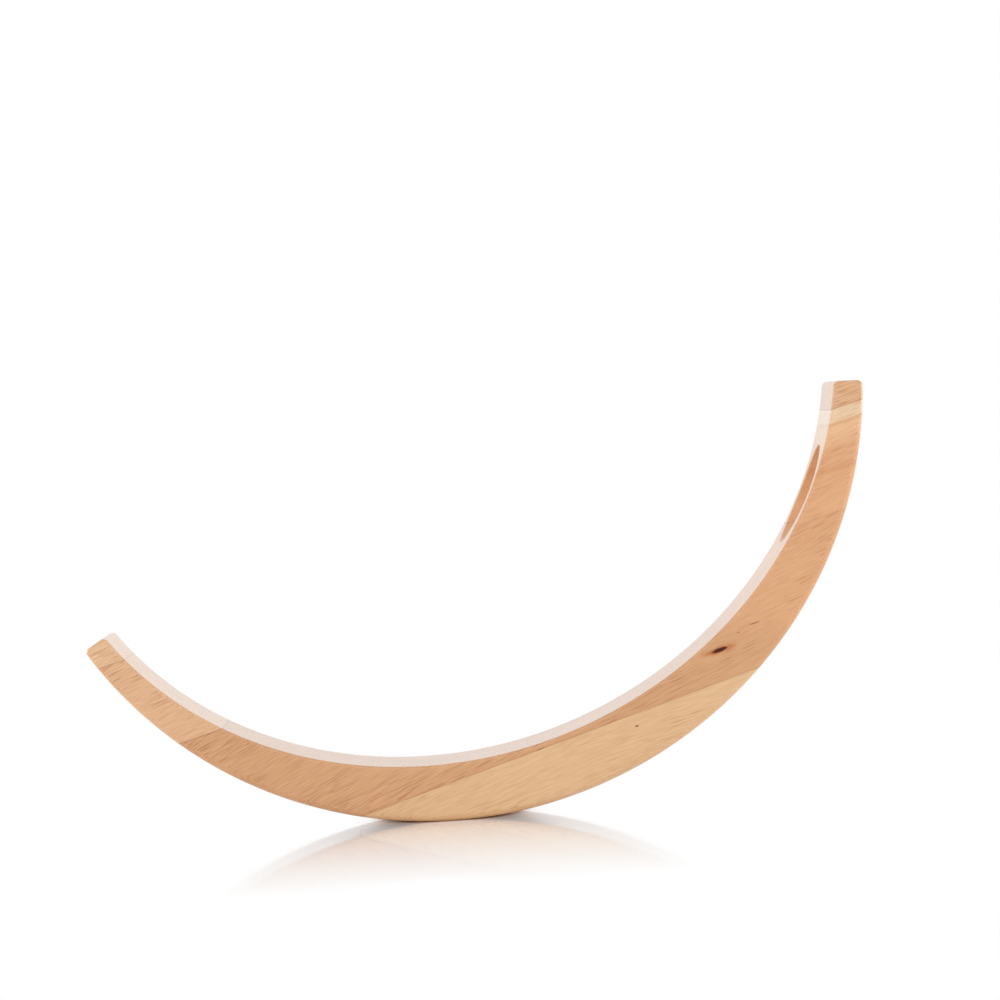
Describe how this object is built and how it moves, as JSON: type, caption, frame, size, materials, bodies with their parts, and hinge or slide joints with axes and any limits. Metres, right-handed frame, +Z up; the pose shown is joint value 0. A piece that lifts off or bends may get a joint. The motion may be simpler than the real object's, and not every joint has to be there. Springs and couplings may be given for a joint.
{
  "type": "balancing wine bottle holder",
  "caption": "Wooden crescent of edge-glued staves that rocks on its outer curve and balances a wine bottle by the neck through a slanted bore in its raised arm.",
  "frame": {"origin": "middle of the narrow flat of the outer curve that meets the table when the holder leans as it does in use", "axes": "+X along the crescent to the raised arm with the neck bore, +Y through the board from its front face, +Z up from the table"},
  "size_m": [0.2645, 0.045, 0.1385],
  "materials": {
    "pale_stave": "satin clear lacquer on pale yellow hardwood",
    "warm_stave": "satin clear lacquer on warm pinkish hardwood",
    "arm_stave": "satin clear lacquer on tan hardwood",
    "tip_stave": "satin clear lacquer on pale tan hardwood"
  },
  "bodies": {
    "root": {"base_stave": "pale_stave", "waist_stave": "warm_stave", "left_arm_stave": "arm_stave", "right_arm_stave": "arm_stave", "left_tip_stave": "tip_stave", "right_tip_stave": "tip_stave"}
  },
  "joints": []
}
